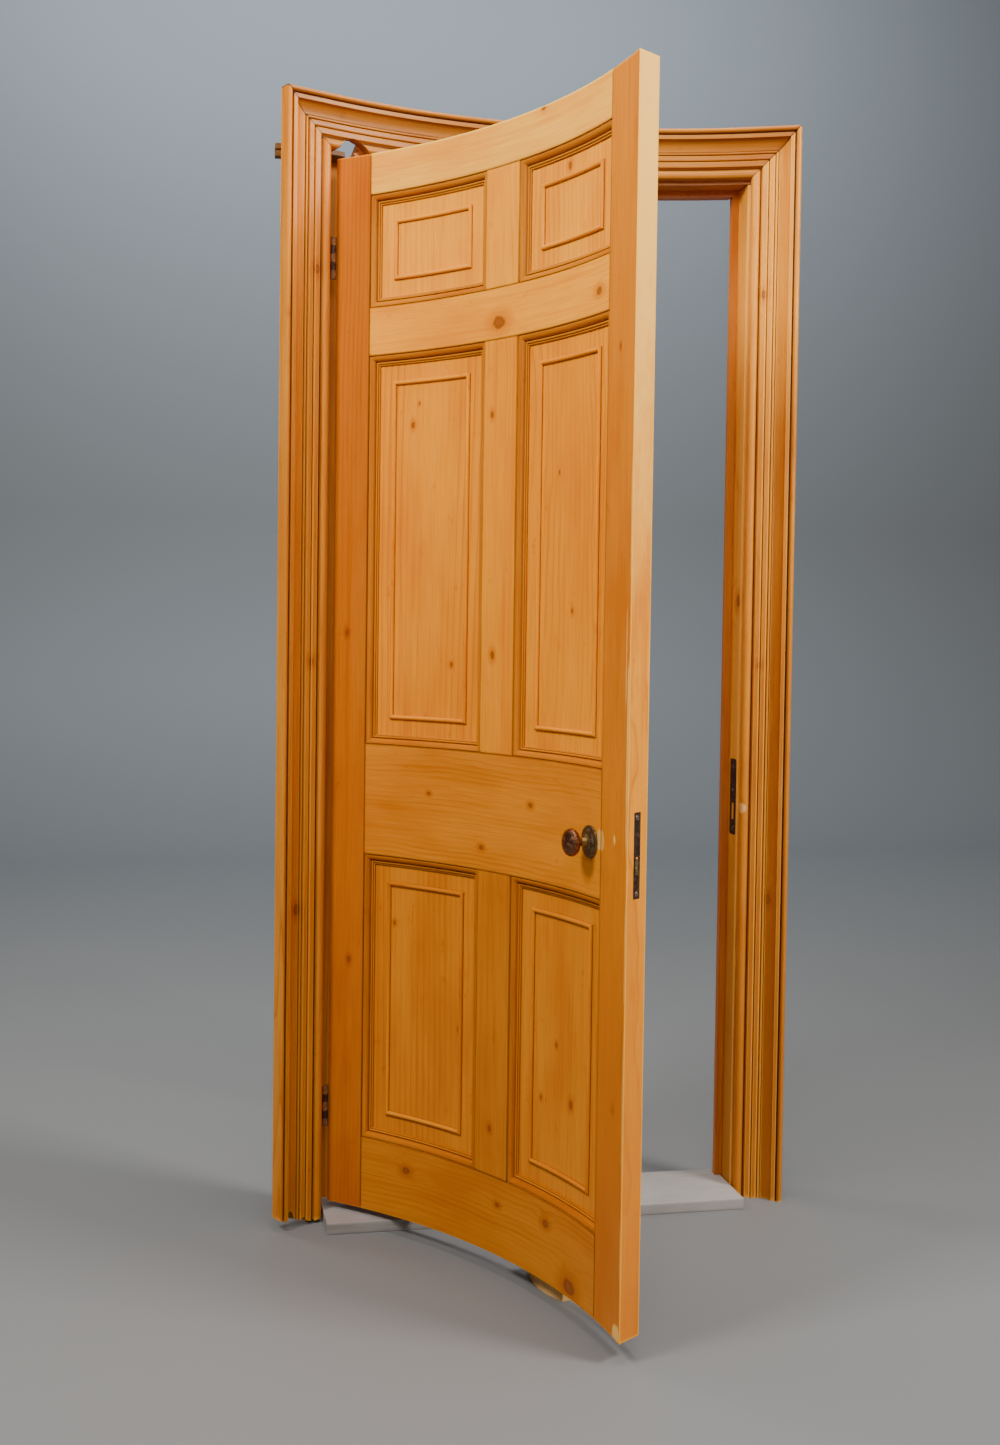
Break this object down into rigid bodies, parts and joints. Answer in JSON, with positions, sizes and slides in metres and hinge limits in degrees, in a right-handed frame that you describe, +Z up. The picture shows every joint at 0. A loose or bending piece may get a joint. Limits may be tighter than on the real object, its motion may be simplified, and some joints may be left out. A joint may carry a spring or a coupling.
{
  "type": "curved door surround with panelled door",
  "caption": "Curved-on-plan pine door surround: moulded architrave and linings with a hinged panelled door standing ajar on a chock.",
  "frame": {"origin": "on the floor under the middle of the threshold board, in the middle of the doorway, on the chord of the shut leaf's hollow face", "axes": "+Z up, -Y towards the side that the leaf opens to, +X towards the lock side"},
  "size_m": [1.0494, 0.9305, 2.184],
  "materials": {
    "lining_wood": "waxed stripped pine with worn arrises",
    "architrave_wood": "waxed stripped pine, dirt in the quirks",
    "board_paint": "softwood board with worn grey paint",
    "chock_wood": "bare pale softwood",
    "lock_iron": "dark rusted iron with bare rubbed edges",
    "hinge_iron": "dark iron",
    "stile_wood": "waxed pine, deep orange",
    "rail_wood": "waxed pine, deep orange below and paler at the top",
    "muntin_wood": "waxed pine",
    "panel_wood": "waxed pine, honey coloured",
    "moulding_wood": "waxed pine, dark in the quirks",
    "latch_brass": "dull worn brass",
    "knob_bronze": "brown patinated brass",
    "rose_brass": "dull brass with green-grey patina"
  },
  "bodies": {
    "surround": {"lining_left": "lining_wood", "lining_right": "lining_wood", "lining_head": "lining_wood", "lining_head_stub": "lining_wood", "stop_left": "lining_wood", "stop_right": "lining_wood", "stop_head": "lining_wood", "architrave_left": "architrave_wood", "architrave_right": "architrave_wood", "architrave_head": "architrave_wood", "threshold_board": "board_paint", "chock": "chock_wood", "keep_plate": "lock_iron", "hinge_top_frame_leaf": "hinge_iron", "hinge_top_pin": "hinge_iron", "hinge_bottom_frame_leaf": "hinge_iron", "hinge_bottom_pin": "hinge_iron"},
    "leaf": {"hinge_stile": "stile_wood", "lock_stile": "stile_wood", "bottom_rail": "rail_wood", "lock_rail": "rail_wood", "frieze_rail": "rail_wood", "top_rail": "rail_wood", "lock_forend": "lock_iron", "latch_bolt": "latch_brass", "knob_front": "knob_bronze", "knob_back": "knob_bronze", "rose_front": "rose_brass", "rose_back": "rose_brass", "hinge_top_door_leaf": "hinge_iron", "hinge_bottom_door_leaf": "hinge_iron", "muntin_lower": "muntin_wood", "panel_lower_left": "panel_wood", "moulding_lower_left": "moulding_wood", "bead_lower_left": "panel_wood", "panel_lower_right": "panel_wood", "moulding_lower_right": "moulding_wood", "bead_lower_right": "panel_wood", "muntin_middle": "muntin_wood", "panel_middle_left": "panel_wood", "moulding_middle_left": "moulding_wood", "bead_middle_left": "panel_wood", "panel_middle_right": "panel_wood", "moulding_middle_right": "moulding_wood", "bead_middle_right": "panel_wood", "muntin_top": "muntin_wood", "panel_top_left": "panel_wood", "moulding_top_left": "moulding_wood", "bead_top_left": "panel_wood", "panel_top_right": "panel_wood", "moulding_top_right": "moulding_wood", "bead_top_right": "panel_wood"}
  },
  "joints": [
    {"name": "leaf_swing", "type": "hinge", "parent": "surround", "child": "leaf", "pos_m": [-0.4183, -0.008, 1], "axis": [0, 0, -1], "range_deg": [-62.4, 60]}
  ]
}
